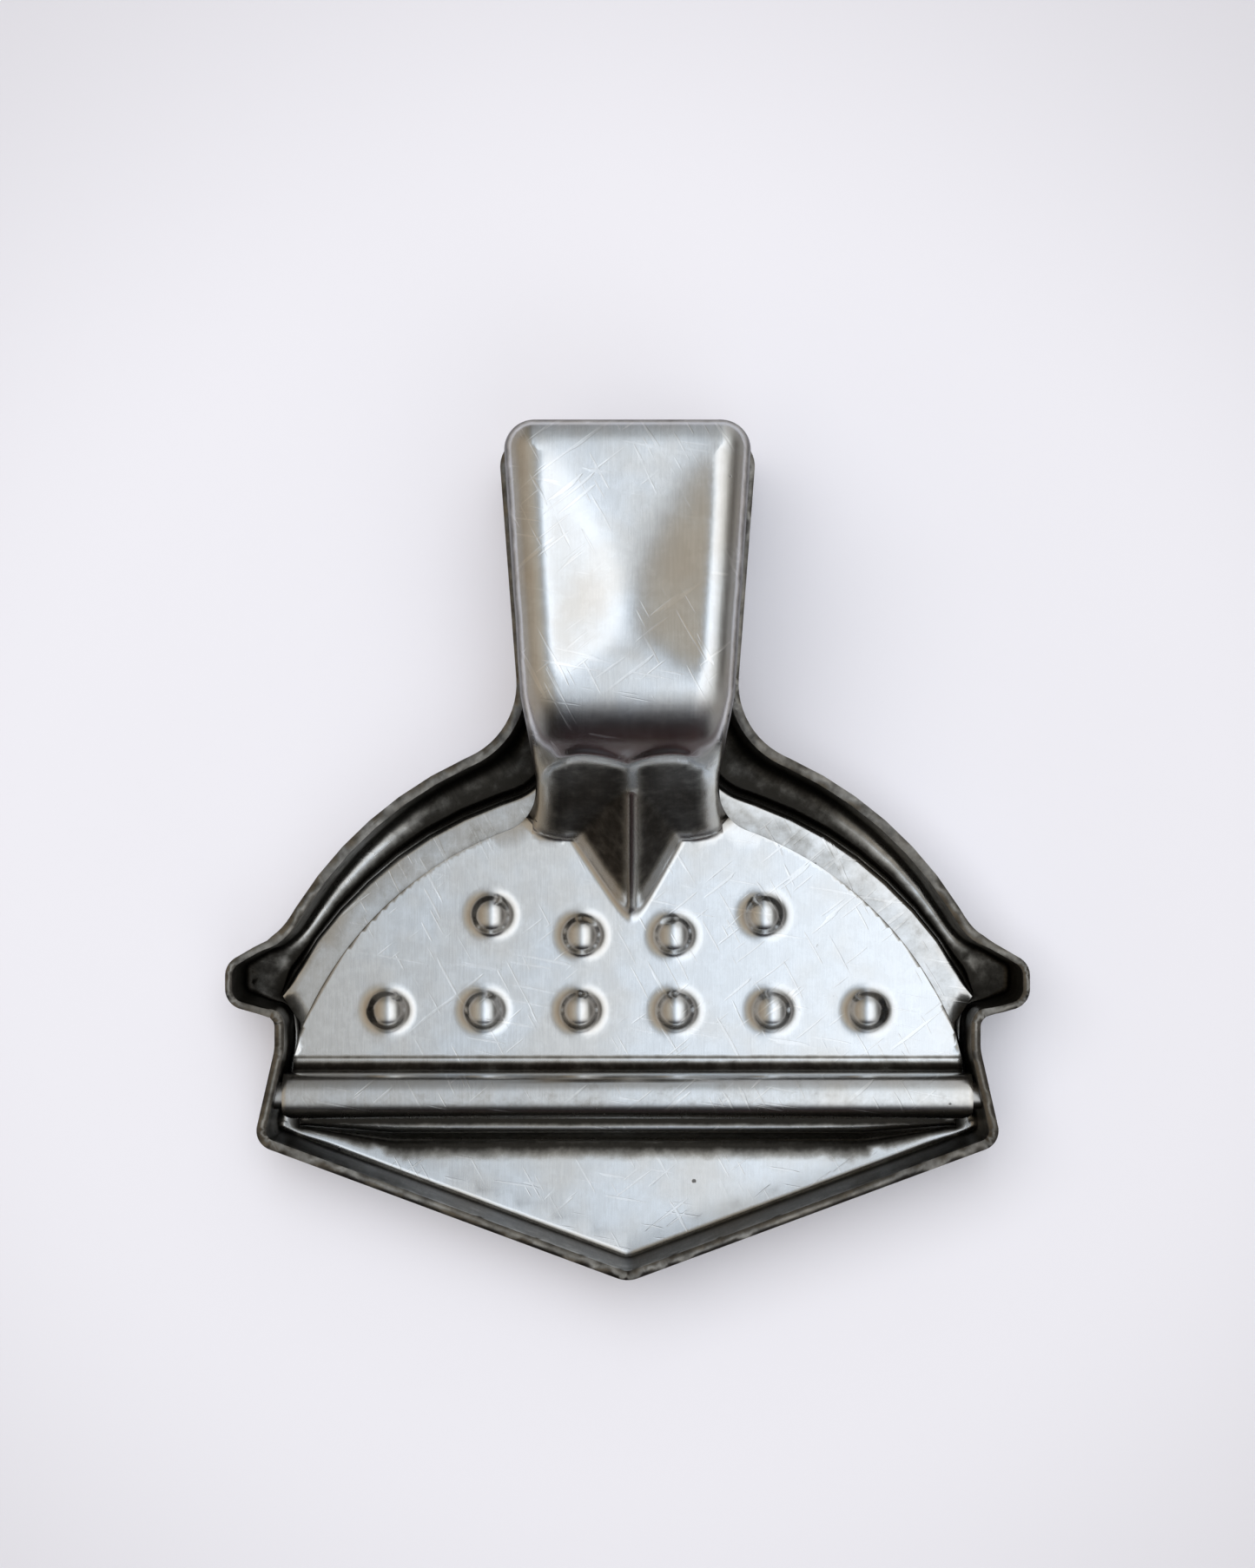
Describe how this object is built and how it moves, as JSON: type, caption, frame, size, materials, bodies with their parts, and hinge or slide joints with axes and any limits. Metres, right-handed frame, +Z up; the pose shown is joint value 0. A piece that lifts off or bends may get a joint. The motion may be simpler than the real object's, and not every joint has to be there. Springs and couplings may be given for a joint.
{
  "type": "citrus wedge squeezer",
  "caption": "Hand squeezer for a slice or wedge of citrus fruit: a studded hinged plate presses it on a raised anvil in a spouted tray, closed by a pair of handles.",
  "frame": {"origin": "the middle of the squeezer's outline, on the surface that the tray stands on", "axes": "+X along the hinge pin towards the right spout, +Y from the nose towards the handles' tips, +Z up"},
  "size_m": [0.0806, 0.0846, 0.027],
  "materials": {
    "tray_steel": "satin pressed stainless steel, worn and lightly stained",
    "press_steel": "bright pressed stainless steel with fine scratches",
    "pin_steel": "drawn stainless steel wire, ground flush at its ends"
  },
  "bodies": {
    "tray": {"juice_tray": "tray_steel", "hinge_pin": "pin_steel"},
    "press": {"press_plate": "press_steel"}
  },
  "joints": [
    {"name": "press_hinge", "type": "hinge", "parent": "tray", "child": "press", "pos_m": [0, -0.02405, 0.00666], "axis": [1, 0, 0], "range_deg": [0, 150]}
  ]
}
